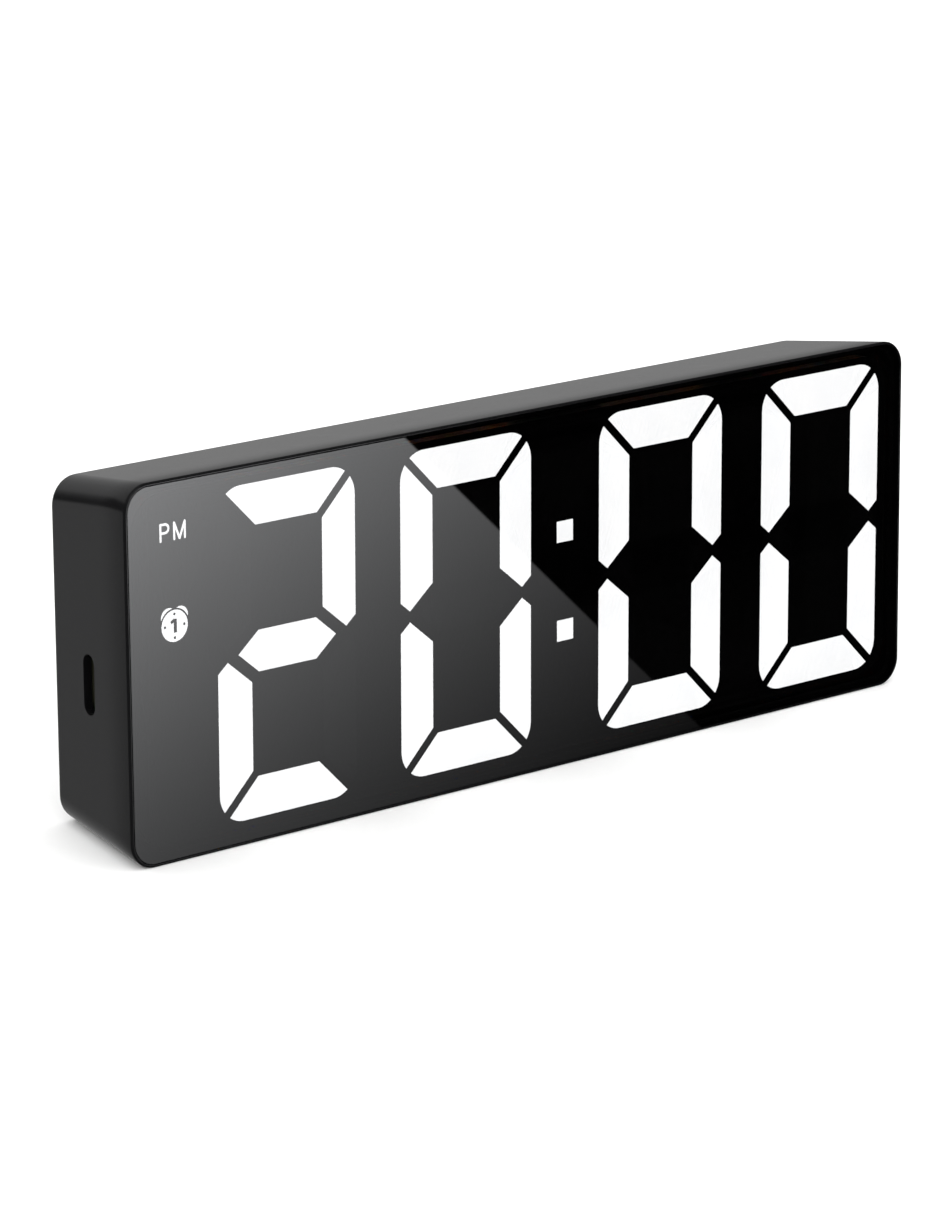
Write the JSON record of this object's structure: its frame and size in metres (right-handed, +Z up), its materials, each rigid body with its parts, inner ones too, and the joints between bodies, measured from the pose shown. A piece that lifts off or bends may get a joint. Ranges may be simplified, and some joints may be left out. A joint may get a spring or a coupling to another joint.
{
  "type": "digital alarm clock",
  "caption": "Flat desk alarm clock, drawn in towards the back: full-width smoked lens, tall white seven-segment digits, side charging socket, rear keys and battery door.",
  "frame": {"origin": "middle of the underside of the whole clock's box, on the surface that it stands on", "axes": "+Z up, -Y towards the viewer of the display, +X to the viewer's right along the clock's length"},
  "size_m": [0.165, 0.0288, 0.0595],
  "materials": {
    "case_plastic": "fine satin texture",
    "smoked_lens": "polished, smoked",
    "black_tape": "foam tape",
    "mask_ink": "printed film",
    "reflector_white": "moulded",
    "lit_guide": "light guide, lit",
    "dark_guide": "light guide, dark",
    "board_green": "solder mask",
    "led_body": "moulded",
    "chip_black": "moulded",
    "can_aluminium": "drawn can",
    "buzzer_plastic": "moulded",
    "pin_brass": "plated",
    "socket_steel": "black nickel plated sheet",
    "screw_steel": "zinc plated",
    "contact_steel": "nickel plated",
    "cell_can": "printed sleeve",
    "switch_plastic": "moulded",
    "plunger_plastic": "moulded",
    "button_plastic": "satin",
    "red_lead": "insulated wire",
    "black_lead": "insulated wire"
  },
  "bodies": {
    "case": {"alarm_indicator": "lit_guide", "battery_cells": "cell_can", "battery_plates": "contact_steel", "battery_springs": "contact_steel", "board_header": "pin_brass", "board_screws": "screw_steel", "buzzer": "buzzer_plastic", "capacitors": "can_aluminium", "clock_chip": "chip_black", "colon_dots": "lit_guide", "control_board": "board_green", "display_driver": "chip_black", "display_screws": "screw_steel", "front_lens": "smoked_lens", "hour_tens_dark": "dark_guide", "hour_tens_lit": "lit_guide", "hour_units_dark": "dark_guide", "hour_units_lit": "lit_guide", "led_board": "board_green", "leds": "led_body", "lens_tape": "black_tape", "minute_tens_dark": "dark_guide", "minute_tens_lit": "lit_guide", "minute_units_dark": "dark_guide", "minute_units_lit": "lit_guide", "negative_lead": "black_lead", "pm_indicator": "lit_guide", "positive_lead": "red_lead", "quartz_crystal": "can_aluminium", "rear_shell": "case_plastic", "reflector_frame": "reflector_white", "segment_mask": "mask_ink", "switch_housings": "switch_plastic", "usb_socket_shell": "socket_steel", "usb_socket_tongue": "chip_black"},
    "mode_key": {"mode_button": "button_plastic", "mode_plunger": "plunger_plastic"},
    "set_key": {"set_button": "button_plastic", "set_plunger": "plunger_plastic"},
    "up_key": {"up_button": "button_plastic", "up_plunger": "plunger_plastic"},
    "down_key": {"down_button": "button_plastic", "down_plunger": "plunger_plastic"},
    "door": {"battery_door": "case_plastic"}
  },
  "joints": [
    {"name": "mode_press", "type": "slide", "parent": "case", "child": "mode_key", "axis": [0, -0.9927, 0.1207], "range_m": [0, 0.0004], "stiffness_N_per_m": 2500},
    {"name": "set_press", "type": "slide", "parent": "case", "child": "set_key", "axis": [0, -0.9927, 0.1207], "range_m": [0, 0.0004], "stiffness_N_per_m": 2500},
    {"name": "up_press", "type": "slide", "parent": "case", "child": "up_key", "axis": [0, -0.9927, 0.1207], "range_m": [0, 0.0004], "stiffness_N_per_m": 2500},
    {"name": "down_press", "type": "slide", "parent": "case", "child": "down_key", "axis": [0, -0.9927, 0.1207], "range_m": [0, 0.0004], "stiffness_N_per_m": 2500},
    {"name": "door_hinge", "type": "hinge", "parent": "case", "child": "door", "pos_m": [0.038, 0.00907, 0.00958], "axis": [-1, 0, 0], "range_deg": [0, 75]}
  ]
}
